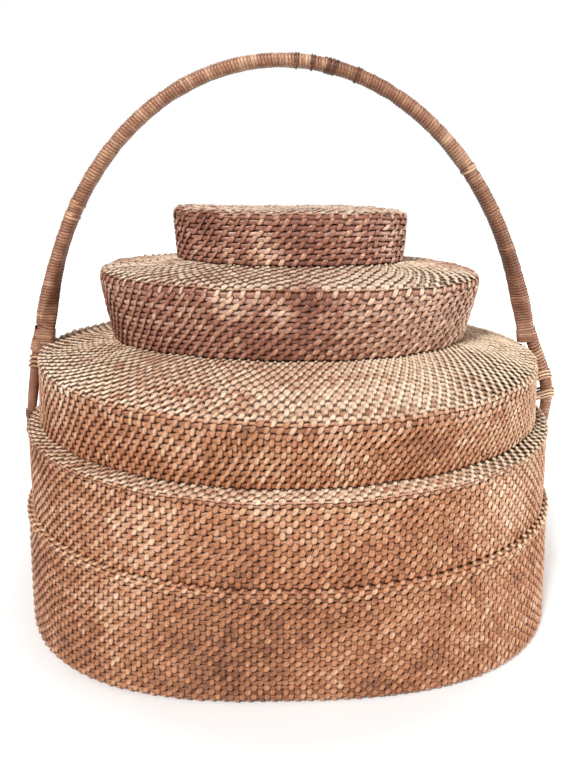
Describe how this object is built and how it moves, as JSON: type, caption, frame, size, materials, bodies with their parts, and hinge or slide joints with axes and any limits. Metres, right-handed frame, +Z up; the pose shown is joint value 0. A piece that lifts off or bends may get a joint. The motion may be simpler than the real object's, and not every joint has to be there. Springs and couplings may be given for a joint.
{
  "type": "lidded basket",
  "caption": "Oval coiled rattan basket in stepped tiers, with a lift-off flared lid topped by an oval knob and a fixed wrapped cane handle arched over it.",
  "frame": {"origin": "middle of the flat underside, on the surface that the basket stands on", "axes": "+Z up; X along the long side of the oval, in the plane of the handle's arch; -Y towards the viewer of the picture"},
  "size_m": [0.3975, 0.295, 0.376],
  "materials": {
    "woven_rattan": "satin, aged rattan peel",
    "ledge_rattan": "satin, aged rattan peel",
    "inner_rattan": "matt, raw rattan",
    "cane": "satin, round cane",
    "binding_strip": "satin, thin strip",
    "dark_strip": "satin, dark strip",
    "pale_strip": "satin, pale strip"
  },
  "bodies": {
    "basket": {"base_panel": "woven_rattan", "lower_wall": "woven_rattan", "lower_ledge": "ledge_rattan", "middle_wall": "woven_rattan", "shelf": "ledge_rattan", "upper_wall": "woven_rattan", "shoulder": "woven_rattan", "mouth_rim": "inner_rattan", "handle_inner_cane": "cane", "handle_outer_cane": "cane", "handle_binding": "binding_strip", "left_neck_winding": "pale_strip", "right_neck_winding": "pale_strip", "dark_band": "dark_strip", "thin_dark_band_1": "dark_strip", "thin_dark_band_2": "dark_strip", "thin_dark_band_3": "dark_strip", "left_pale_band_1": "pale_strip", "left_pale_band_2": "pale_strip", "right_pale_band_1": "pale_strip", "right_pale_band_2": "pale_strip", "left_upper_lashing": "pale_strip", "left_tip_tie": "dark_strip", "right_upper_lashing": "pale_strip", "right_lower_lashing": "pale_strip"},
    "lid": {"lid_wall": "woven_rattan", "lid_seat": "inner_rattan", "lid_collar": "inner_rattan", "lid_top": "woven_rattan", "knob_wall": "woven_rattan", "knob_top": "woven_rattan"}
  },
  "joints": [
    {"name": "lid_lift", "type": "slide", "parent": "basket", "child": "lid", "axis": [0, 0, 1], "range_m": [0, 0.045]}
  ]
}
